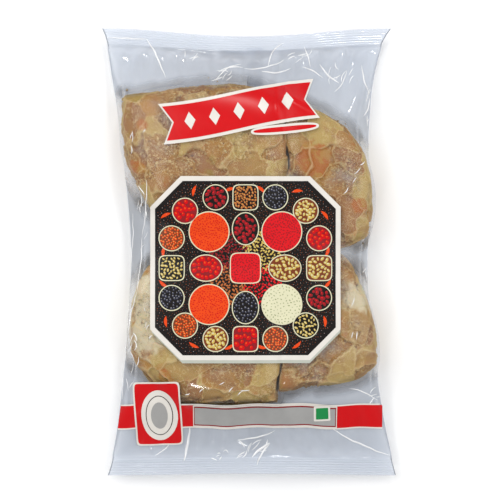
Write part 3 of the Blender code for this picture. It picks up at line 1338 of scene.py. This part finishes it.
@dataclass
class Press:
    """Lays flat shapes on the front of the film, each layer of ink a little above the last.

    Attributes:
        film: The film.
        layer_height: How far a layer lies over the one under it.
        first_height: How far the first one lies over the film.
        cell: How far apart the cuts are that let a large shape follow the film.
        clear: How far round a point the film is looked at, to clear it.
    """

    film: Piece
    layer_height: float = 0.07
    first_height: float = 0.2
    cell: float = 1.5
    clear: float = 1.1

    def __post_init__(self) -> None:
        """Prepares the film's front for dropping points on it."""
        self.tree = surface_of(self.film)

    def drop(self, x: float, y: float) -> tuple[Vector, Vector] | None:
        """Drops a point on the film's front.

        Args:
            x: Where it is across, in metres.
            y: Where it is along, in metres.

        Returns:
            Where it lands and the film's outward direction there, or nothing if it misses.
        """
        hit, normal, _, _ = self.tree.ray_cast(Vector((x, y, 0.2)), Vector((0, 0, -1)))
        return (hit, normal) if hit is not None else None

    def clear_height(self, x: float, y: float, lowest: float) -> float:
        """The height that clears the film all round a point, in metres."""
        reach = self.clear * MM
        around = [self.drop(x + dx * reach, y + dy * reach) for dx, dy in ((1, 0), (-1, 0), (0, 1), (0, -1))]
        return max([lowest, *(place[0].z for place in around if place)])

    def cut(self, flat: bmesh.types.BMesh) -> None:
        """Cuts flat shapes into cells, so that they can follow the film."""
        low = np.min([v.co for v in flat.verts], axis=0)
        high = np.max([v.co for v in flat.verts], axis=0)
        for axis in (0, 1):
            cell = self.cell * MM
            across = Vector((1 - axis, axis, 0))
            for place in np.arange(math.ceil(low[axis] / cell), math.ceil(high[axis] / cell)) * cell:
                whole = flat.verts[:] + flat.edges[:] + flat.faces[:]
                bmesh.ops.bisect_plane(flat, geom=whole, plane_co=across * place, plane_no=across)

    def lay(self, name: str, flat: bmesh.types.BMesh, ink: Ink, layer: float, cut: bool = True) -> None:
        """Makes a printed piece from flat shapes.

        Args:
            name: The piece's name.
            flat: The shapes, as seen from above, in metres. They are used up.
            ink: What they are printed in.
            layer: How many layers are under them.
            cut: Whether they are large enough to be cut into cells.
        """
        if cut:
            self.cut(flat)
        lift = (self.first_height + layer * self.layer_height) * MM
        missed = []
        for vert in flat.verts:
            found = self.drop(vert.co.x, vert.co.y)
            if found is None:
                missed.append(vert)
                continue
            place, normal = found
            vert.co = Vector((place.x, place.y, self.clear_height(place.x, place.y, place.z))) + normal * lift
        if missed:
            bmesh.ops.delete(flat, geom=missed, context="VERTS")
        for face in flat.faces:
            face.normal_update()
            if face.normal.z < 0:
                face.normal_flip()
        mesh = bpy.data.meshes.new(name)
        flat.to_mesh(mesh)
        flat.free()
        mesh.shade_smooth()
        place_piece(new_object(name, mesh, ink.material()))


def flat_shape(*outlines: Sequence[Place]) -> bmesh.types.BMesh:
    """Makes flat shapes from outlines."""
    flat = bmesh.new()
    for outline in outlines:
        flat.faces.new([flat.verts.new((x * MM, y * MM, 0)) for x, y in outline])
    return flat


def turned(outline: Sequence[Place], middle: Place, degrees: float) -> list[Place]:
    """Turns an outline round its own origin and moves it to a middle."""
    c, s = math.cos(math.radians(degrees)), math.sin(math.radians(degrees))
    return [(middle[0] + c * x - s * y, middle[1] + s * x + c * y) for x, y in outline]


def oval(half_x: float, half_y: float, corners: int = 40, power: float = 2.0) -> list[Place]:
    """An oval round the origin. A power above 2 squares it off."""

    def squared(value: float) -> float:
        """A cosine or sine, raised to suit the power."""
        return math.copysign(abs(value) ** (2 / power), value)

    angles = [math.tau * step / corners for step in range(corners)]
    return [(half_x * squared(math.cos(a)), half_y * squared(math.sin(a))) for a in angles]


def octagon(middle: Place, half_x: float, half_y: float, corner: float) -> list[Place]:
    """A rectangle with its corners cut off."""
    x, y = half_x - corner, half_y - corner
    upper = [(half_x, y), (x, half_y), (-x, half_y), (-half_x, y)]
    points = [(half_x, -y), *upper, *((-px, -py) for px, py in upper[:3])]
    return [(middle[0] + px, middle[1] + py) for px, py in points]


@dataclass
class BowlPanel:
    """The dark octagonal panel with its bowls.

    Attributes:
        press: The press that prints it.
        middle: Its middle.
        half_x: Half its width.
        half_y: Half its height.
        corner: How much is cut off each corner.
        border: How wide its white border is.
        rim: How wide a bowl's rim is.
        near: How far the four large bowls stand from the middle, each way.
        large: Their radius.
        small: The radius of the bowls along the edges.
        most: The most grains in a square metre.
        seed: Picks where the grains fall.
    """

    press: Press
    middle: Place = (-2.2, -9.9)
    half_x: float = 58.4
    half_y: float = 56.4
    corner: float = 18.8
    border: float = 3.0
    rim: float = 0.62
    near: float = 22.3
    large: float = 12.6
    small: float = 8.0
    most: float = 3e6
    seed: int = 5

    def bowls(self) -> list[Bowl]:
        """The bowls: one in the middle, eight round it, and sixteen small ones along the edges."""
        kinds = (Fill.LENTILS, Fill.BEANS, Fill.PIPS, Fill.NUTS, Fill.PEPPER, Fill.BERRIES, Fill.SEEDS)
        found = [Bowl(0, 0, 9.6, 9.6, Fill.CHILLI, True)]
        for turn in range(4):
            c, s = round(math.cos(turn * math.pi / 2)), round(math.sin(turn * math.pi / 2))
            corner = (Fill.CHILLI, Fill.PAPRIKA, Fill.PAPRIKA, Fill.RICE)[turn]
            side = (Fill.NUTS, Fill.BEANS, Fill.BERRIES, Fill.PEPPER)[turn]
            found.append(Bowl(self.near * (c - s), self.near * (c + s), self.large, self.large, corner))
            found.append(Bowl(24.2 * c, 24.2 * s, 8.4 if s else 10.2, 10.2 if s else 8.4, side))
            edge = 45.2 if c else 43.4
            for place, along in enumerate((-18.3, 0, 18.3)):
                x, y = edge * c - along * s, edge * s + along * c
                kind = kinds[(3 * turn + 2 * place + 1) % len(kinds)]
                found.append(Bowl(x, y, self.small, self.small, kind, place == 1))
            kind = kinds[(turn * 2 + 3) % len(kinds)]
            found.append(Bowl(37.0 * (c - s), 35.2 * (c + s), self.small, self.small, kind))
        mx, my = self.middle
        return [Bowl(b.x + mx, b.y + my, b.half_x, b.half_y, b.fill, b.square) for b in found]

    def disc_tree(self) -> Tree:
        """The tree that puts a disc on every point, as wide and as high as the point says."""
        tree, given = geometry_tree("bowl_discs", "Inset", "Squareness", whole=("Corners",))
        inputs = {"Vertices": given["Corners"], "Radius": 1.0}
        disc = result(tree, "GeometryNodeMeshCircle", inputs, fill_type="NGON")
        place = result(tree, "GeometryNodeInputPosition")
        size = result(tree, "ShaderNodeVectorMath", {0: place}, operation="ABSOLUTE")
        sign = result(tree, "ShaderNodeVectorMath", {0: place}, operation="SIGN")
        parts = add_node(tree, "ShaderNodeSeparateXYZ", {0: size}).outputs
        power = maths(tree, "DIVIDE", 2.0, given["Squareness"])
        raised = {axis: maths(tree, "POWER", parts[axis], power) for axis in (0, 1)}
        squared = result(tree, "ShaderNodeCombineXYZ", raised)
        signed = result(tree, "ShaderNodeVectorMath", {0: squared, 1: sign}, operation="MULTIPLY")
        shaped = result(tree, "GeometryNodeSetPosition", {"Geometry": disc, "Position": signed})
        inset = result(tree, "ShaderNodeCombineXYZ", {0: given["Inset"], 1: given["Inset"]})
        inputs = {0: named(tree, "halves", "FLOAT_VECTOR"), 1: inset}
        scale = result(tree, "ShaderNodeVectorMath", inputs, operation="SUBTRACT")
        inputs = {"Points": given[0], "Instance": shaped, "Scale": scale}
        discs = add_node(tree, "GeometryNodeInstanceOnPoints", inputs)
        return finish_tree(tree, given, discs.outputs[0])

    def grain_tree(self) -> Tree:
        """The tree that scatters flat grains over flat shapes."""
        tree, given = geometry_tree("printed_grains", "Spacing", "Length", "Width", whole=("Seed",))
        seed = given["Seed"]
        grain = add_node(tree, "GeometryNodeMeshCircle", {"Vertices": 8, "Radius": 0.5}, fill_type="NGON")
        size = result(tree, "ShaderNodeCombineXYZ", {0: given["Length"], 1: given["Width"], 2: 1.0})
        inputs = {0: size, "Scale": random_size(tree, seed, 0.65, 1.1)}
        scale = result(tree, "ShaderNodeVectorMath", inputs, operation="SCALE")
        turn = result(tree, "ShaderNodeCombineXYZ", {2: random_size(tree, seed, 0.0, math.tau)})
        points = scatter(tree, given, self.most)
        inputs = {"Points": points, "Instance": grain.outputs[0], "Rotation": turn, "Scale": scale}
        grains = add_node(tree, "GeometryNodeInstanceOnPoints", inputs)
        return finish_tree(tree, given, grains.outputs[0])

    def discs(self, tree: Tree, bowls: Sequence[Bowl], inset: float, ink: Ink) -> bmesh.types.BMesh:
        """Flat discs on some bowls, inset from their rims.

        Args:
            tree: The tree that makes them.
            bowls: The bowls.
            inset: How far inside its rim each disc ends.
            ink: What they are printed in.

        Returns:
            The discs.
        """
        flat = bmesh.new()
        for square, power in ((False, 2.0), (True, 5.0)):
            chosen = [b for b in bowls if b.square is square]
            if not chosen:
                continue
            points = bpy.data.meshes.new("bowl_middles")
            points.from_pydata([(b.x * MM, b.y * MM, 0) for b in chosen], [], [])
            halves = points.attributes.new("halves", "FLOAT_VECTOR", "POINT")
            sizes = [size for b in chosen for size in (b.half_x * MM, b.half_y * MM, 1.0)]
            halves.data.foreach_set("vector", sizes)
            values = {"Inset": inset * MM, "Corners": 40, "Squareness": power, "Material": ink.material()}
            flat.from_mesh(run_tree("discs", tree, points, values))
        return flat

    def grains(
        self,
        tree: Tree,
        ground: bmesh.types.BMesh,
        sizes: Sequence[float],
        ink: Ink,
        shift: Place = (0.0, 0.0),
    ) -> bmesh.types.BMesh:
        """Flat grains scattered over some flat shapes.

        Args:
            tree: The tree that scatters them.
            ground: The shapes that they are scattered over. They are used up.
            sizes: The grains' spacing, length and width.
            ink: What they are printed in.
            shift: How far all of them are moved.

        Returns:
            The grains.
        """
        base = bpy.data.meshes.new("grain_ground")
        ground.to_mesh(base)
        ground.free()
        values = {name: size * MM for name, size in zip(("Spacing", "Length", "Width"), sizes)}
        values |= {"Seed": self.seed, "Material": ink.material()}
        flat = bmesh.new()
        flat.from_mesh(run_tree("grains", tree, base, values))
        bmesh.ops.translate(flat, vec=(shift[0] * MM, shift[1] * MM, 0), verts=flat.verts[:])
        return flat

    def heap(self, turn: int) -> bmesh.types.BMesh:
        """The ground of one heap of loose grains, in one of the four gaps round the middle bowl."""
        degrees, reach = 45 + 90 * turn, 15
        angle = math.radians(degrees)
        middle = (self.middle[0] + reach * math.cos(angle), self.middle[1] + reach * math.sin(angle))
        return flat_shape(turned(oval(8.5, 16.0), middle, degrees))

    def slivers(self) -> bmesh.types.BMesh:
        """Small pointed pods between the outer bowls."""
        outlines = []
        for step in range(16):
            angle = math.tau * (step + 0.5) / 16
            reach = 1 / (abs(math.cos(angle) / 50.5) ** 5 + abs(math.sin(angle) / 48.5) ** 5) ** 0.2
            # Up one side of the pod and back down the other. Both of its tips are turned up.
            shares = [(side, side * share) for side in (1, -1) for share in (-1, -0.5, 0, 0.5)]
            shape = [(3.6 * t, (1 - t * t) * side + 0.6 * t * t) for side, t in shares]
            middle = (self.middle[0] + reach * math.cos(angle), self.middle[1] + reach * math.sin(angle))
            outlines.append(turned(shape, middle, math.degrees(angle) + 60 + 35 * (step % 3)))
        return flat_shape(*outlines)

    def build(self) -> None:
        """Prints the panel."""
        lay, middle, inset = self.press.lay, self.middle, self.border
        # The white is printed twice, and the first time slipped a little down and sideways.
        slipped = octagon((middle[0] + 0.4, middle[1] - 1.9), self.half_x - 0.6, self.half_y, self.corner)
        border = octagon(middle, self.half_x, self.half_y, self.corner)
        inner = octagon(middle, self.half_x - inset, self.half_y - inset, self.corner - 0.59 * inset)
        lay("panel_slipped_white", flat_shape(slipped), Ink.PALE, 0)
        lay("panel_border", flat_shape(border), Ink.WHITE, 1)
        lay("panel_ground", flat_shape(inner), Ink.BLACK, 2)
        disc_tree, grain_tree = self.disc_tree(), self.grain_tree()
        strewn = octagon(middle, self.half_x - 4.4, self.half_y - 4.4, 17.5)
        loose = [
            ("panel_speckle", flat_shape(strewn), (1.3, 0.7, 0.5), Ink.BROWN, 3.5),
            ("panel_dust", flat_shape(strewn), (2.3, 0.45, 0.4), Ink.GREY, 4),
        ]
        for turn, ink in enumerate((Ink.STRAW, Ink.CRIMSON, Ink.TAN, Ink.SCARLET)):
            loose.append((f"panel_heap_{turn + 1}", self.heap(turn), (1.5, 2.2, 1.2), ink, 4.5))
        for name, ground, sizes, ink, layer in loose:
            lay(name, self.grains(grain_tree, ground, sizes, ink), ink, layer, cut=False)
        lay("panel_pods", self.slivers(), Ink.ORANGE, 4)
        bowls = self.bowls()
        lay("bowl_rims", self.discs(disc_tree, bowls, 0.0, Ink.CREAM), Ink.CREAM, 5)
        for fill in Fill:
            ground, ink, shine, spacing, length, width = fill.value
            chosen = [bowl for bowl in bowls if bowl.fill is fill]
            name = fill.name.lower()
            lay(f"bowl_{name}", self.discs(disc_tree, chosen, self.rim, ground), ground, 6)
            edge = self.rim + 0.1 + length / 2
            inside = self.discs(disc_tree, chosen, edge, ground)
            grains = self.grains(grain_tree, inside, (spacing, length, width), ink)
            lay(f"grains_{name}", grains, ink, 8.5, cut=False)
            if shine:
                inside = self.discs(disc_tree, chosen, edge, ground)
                sizes = (spacing, max(0.5, length * 0.42), max(0.4, width * 0.34))
                shines = self.grains(grain_tree, inside, sizes, shine, (-0.1 * length, 0.18 * width))
                lay(f"shine_{name}", shines, shine, 10, cut=False)


@dataclass(frozen=True)
class Mark:
    """A printed oval, or an oblong with round corners where its power is high."""

    name: str
    middle: Place
    tilt: float
    half_x: float
    half_y: float
    ink: Ink
    layer: float
    corners: int = 40
    power: float = 2.0

    def lay(self, press: Press) -> None:
        """Prints it."""
        outline = oval(self.half_x, self.half_y, self.corners, self.power)
        press.lay(self.name, flat_shape(turned(outline, self.middle, self.tilt)), self.ink, self.layer)


STROKE = (
    Mark("banner_stroke_keyline", (22.0, 75.5), 5.5, 21, 3.0, Ink.WHITE, 3, power=2.6),
    Mark("banner_stroke", (22.0, 75.5), 5.5, 19.4, 1.5, Ink.RED, 4, power=2.6),
)
BADGE = (
    Mark("badge_keyline", (-56.4, -100.2), 2.4, 14.6, 20.2, Ink.WHITE, 4, 48, 16.0),
    Mark("badge", (-56.4, -100.2), 2.4, 13.6, 19.2, Ink.RED, 5.5, 48, 16.0),
    Mark("badge_oval", (-55.4, -101.0), 2.4, 11.4, 16.0, Ink.WHITE, 7),
    Mark("badge_ring", (-55.4, -101.0), 2.4, 8.6, 12.6, Ink.BLACK, 8),
    Mark("badge_middle", (-55.4, -101.0), 2.4, 8.1, 12.1, Ink.WHITE, 9),
    Mark("badge_spot", (-55.4, -101.0), 2.4, 5.2, 8.4, Ink.GREY, 10),
)
SQUARE = (
    Mark("square_keyline", (45.2, -99.8), 2.0, 5.0, 4.8, Ink.WHITE, 8.5, 24, 20.0),
    Mark("square", (45.2, -99.8), 2.0, 3.7, 3.6, Ink.GREEN, 10, 24, 20.0),
)


@dataclass
class FrontPrint:
    """The banner, the band with its panel, the badge and the small square.

    Attributes:
        press: The press that prints them.
        banner_middle: The banner's middle.
        banner_tilt: How far it is turned.
        banner_half: Half its length.
        band_low: Where the band's lower edge is.
        band_high: Where its upper edge is.
        band_ends: Where it ends, at the side folds.
    """

    press: Press
    banner_middle: Place = (-6.2, 86.5)
    banner_tilt: float = 8.5
    banner_half: float = 46.3
    band_low: float = -108.3
    band_high: float = -94.4
    band_ends: Place = (-81.6, 82.7)

    def ribbon(self, half_length: float, half_height: float) -> list[Place]:
        """A ribbon that waves a little and has notched ends."""
        steps = np.linspace(-1, 1, 33)
        waves = 1.6 * np.sin(steps * 2.4)
        upper = [(half_length * t, w + half_height) for t, w in zip(steps, waves)]
        lower = [(half_length * t, w - half_height) for t, w in zip(steps, waves)]
        notch = half_height * 0.55
        ends = (half_length - notch, waves[-1]), (notch - half_length, waves[0])
        return turned(upper + [ends[0]] + lower[::-1] + [ends[1]], self.banner_middle, self.banner_tilt)

    def banner(self) -> None:
        """A ribbon with a white keyline and a row of diamonds."""
        lay, half = self.press.lay, self.banner_half
        lay("banner_keyline", flat_shape(self.ribbon(half + 2.2, 12.6)), Ink.WHITE, 0)
        lay("banner", flat_shape(self.ribbon(half, 10.6)), Ink.RED, 3)
        diamonds = []
        for place in np.linspace(-0.66, 0.66, 5):
            shape = [(3.4, 0), (0, 5.4), (-3.4, 0), (0, -5.4)]
            shape = [(x + half * place, y + 1.6 * math.sin(place * 2.4)) for x, y in shape]
            diamonds.append(turned(shape, self.banner_middle, self.banner_tilt))
        lay("banner_diamonds", flat_shape(*diamonds), Ink.WHITE, 5.5)

    def strip(self, ends: Place, outward: Place, lean: float = 0.0) -> list[Place]:
        """A strip across the bag that dips and rises a little with the film.

        Args:
            ends: Where it ends, on the left and on the right.
            outward: How far its lower and its upper edge lie outside the band's.
            lean: How far its upper left corner stands in, to follow the side fold.

        Returns:
            Its outline.
        """
        steps = np.linspace(*ends, 60)
        wave = 0.5 * np.sin(steps / 11) + 0.35 * np.sin(steps / 5.2 + 1) - 0.8 * (steps / 80) ** 2
        upper = [(x, self.band_high + outward[1] + w) for x, w in zip(steps, wave)]
        upper[0] = (ends[0] + lean, upper[0][1])
        lower = [(x, self.band_low - outward[0] + w) for x, w in zip(steps, wave)]
        return lower + upper[::-1]

    def band(self) -> None:
        """The red band, with keylines and a bare panel in its middle."""
        for name, strip, ink, layer in (
            ("band_keylines", self.strip(self.band_ends, (0.9, 0.9), 2.1), Ink.WHITE, 0),
            ("band", self.strip(self.band_ends, (0.0, 0.0), 1.9), Ink.RED, 1),
            ("band_panel_keyline", self.strip((-34.5, 54.6), (0.1, 0.1)), Ink.WHITE, 3),
            ("band_panel_line", self.strip((-33.9, 54.0), (-0.8, -0.7)), Ink.CRIMSON, 5),
            ("band_panel", self.strip((-33.4, 53.5), (-1.6, -1.5)), Ink.GREY, 7),
        ):
            self.press.lay(name, flat_shape(strip), ink, layer)

    def build(self) -> None:
        """Prints the front."""
        self.banner()
        for mark in STROKE:
            mark.lay(self.press)
        self.band()
        for mark in BADGE + SQUARE:
            mark.lay(self.press)


# ---------------------------------------------------------------- the studio


@dataclass
class Studio:
    """The floor, the lamps, the backdrop and the camera, in metres.

    Attributes:
        camera_height: How high the camera stands over the table.
        camera_at: Where it stands.
        view_width: How wide a stretch it sees, at the height of the object's middle.
        object_middle: That height.
        ambient: How strong the backdrop's light is. Seen or mirrored, the backdrop is plain white.
        lamps: Each lamp's name, place, size and power in watts.
    """

    camera_height: float = 1.6
    camera_at: Place = (0.0006, 0.0012)
    view_width: float = 0.310
    object_middle: float = 0.02
    ambient: float = 0.55
    lamps: tuple[tuple[str, tuple[float, float, float], float, float], ...] = (
        ("key", (-0.5, 0.4, 0.9), 0.9, 5.4),
        ("fill", (0.6, 0.0, 0.8), 0.9, 2.9),
        ("glint", (0.15, 0.75, 0.7), 0.08, 1.3),
        ("glint_low", (-0.25, -0.7, 0.75), 0.08, 0.9),
    )

    def backdrop(self) -> None:
        """Makes the world: plain white to the camera and in mirrors, and a dimmer white as a light."""
        world = bpy.data.worlds.new("studio")
        bpy.context.scene.world = world
        world.use_nodes = True
        tree = world.node_tree
        path = add_node(tree, "ShaderNodeLightPath").outputs
        seen = maths(tree, "MAXIMUM", path["Is Camera Ray"], path["Is Glossy Ray"])
        seen = maths(tree, "MAXIMUM", seen, path["Is Transmission Ray"])
        strength = result(tree, "ShaderNodeMapRange", {0: seen, 3: self.ambient, 4: 1.0})
        background = tree.nodes["Background"]
        background.inputs["Color"].default_value = (1, 1, 1, 1)
        tree.links.new(strength, background.inputs["Strength"])

    def light(self) -> None:
        """Hangs the lamps, each turned to the object."""
        for name, at, size, power in self.lamps:
            lamp = bpy.data.lights.new(name, "AREA")
            lamp.size, lamp.energy = size, power
            hung = bpy.data.objects.new(name, lamp)
            hung.location = at
            hung.rotation_euler = (-Vector(at)).to_track_quat("-Z", "Y").to_euler()
            bpy.context.scene.collection.objects.link(hung)

    def build(self) -> None:
        """Makes the studio."""
        scene = bpy.context.scene
        scene.view_settings.view_transform = "Standard"
        self.backdrop()
        self.light()
        bpy.ops.mesh.primitive_plane_add(size=4)
        floor = bpy.context.object
        floor.name = "floor"
        floor.data.materials.append(PaperFinish().build())
        lens = bpy.data.cameras.new("camera")
        lens.angle = 2 * math.atan(self.view_width / 2 / (self.camera_height - self.object_middle))
        camera = bpy.data.objects.new("camera", lens)
        camera.location = (*self.camera_at, self.camera_height)
        scene.collection.objects.link(camera)
        scene.camera = camera


# ---------------------------------------------------------------- the whole


BLOCKS = (
    Block(
        name="block_upper_left",
        outline=(
            (-63, 26), (-47, 6), (16, 4), (25.5, 16), (26, 94),
            (8, 104), (-10, 106.5), (-52, 103.5), (-81, 98), (-80, 60),
        ),
        height=40.4,
        facets=(Facet(172, 20, 29), Facet(75, 17, 24), Facet(300, 7, 20.6), Facet(215, 30, 37)),
        seed=1.0,
        syrup=((-69, 52, 5), (-66, 78, 4)),
    ),
    Block(
        name="block_upper_right",
        outline=((20.5, 0), (60, 1), (75, 9), (78.5, 24), (78, 42), (72, 63), (60, 79), (43, 89), (20.5, 99)),
        height=38.6,
        facets=(Facet(20, 24, 26), Facet(60, 24, 29), Facet(200, 10, 19.2), Facet(330, 16, 23)),
        seed=2.0,
        roughness=1.3,
        syrup=((40, 55, 10), (68, 28, 5)),
    ),
    Block(
        name="block_lower_left",
        outline=(
            (-50, -96), (20, -96), (21.5, -1), (-42, 1), (-64, -7),
            (-73, -24), (-76, -48), (-74.5, -66), (-62, -84),
        ),
        height=39.8,
        facets=(Facet(190, 18, 28), Facet(262, 20, 29), Facet(80, 6, 20), Facet(230, 34, 36)),
        seed=3.0,
        syrup=((-52, -78, 5),),
        bloom=((-64, -30, 16), (-64, -52, 12)),
    ),
    Block(
        name="block_lower_right",
        outline=(
            (16.5, -88), (34, -87), (69, -80), (81, -70), (81, -54),
            (76, -33), (68, -12), (59, 0), (17.5, 0),
        ),
        height=36.8,
        facets=(Facet(345, 18, 24), Facet(285, 20, 26), Facet(110, 9, 18.8), Facet(30, 26, 28)),
        seed=4.0,
        roughness=1.2,
        bloom=((67, -27, 9),),
    ),
)


def main() -> None:
    """Builds every piece, in order."""
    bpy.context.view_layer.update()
    jaggery = JaggeryFinish().build()
    blocks = [block.build(jaggery) for block in BLOCKS]
    film = Film(BLOCKS)
    film.settle()
    clear = FilmFinish().build()
    film_piece = film.build(clear)
    skin = corners_of(film_piece.data)
    for block, piece in zip(BLOCKS, blocks):
        set_attribute(piece.data, "wet", smoothstep(2.4, 0.9, nearest_gaps(block.skin, skin)))
        place_piece(piece)
    place_piece(film_piece)
    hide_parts(BAG_NODE)
    place_piece(BackSeam(film_piece).build(clear))
    place_piece(Crumbs(BLOCKS, film_piece).build(jaggery))
    press = Press(film_piece)
    place_piece(PinchedFolds(press).build(FoldGlintFinish().build()))
    BowlPanel(press).build()
    FrontPrint(press).build()
    Studio().build()


if __name__ == "__main__":
    main()
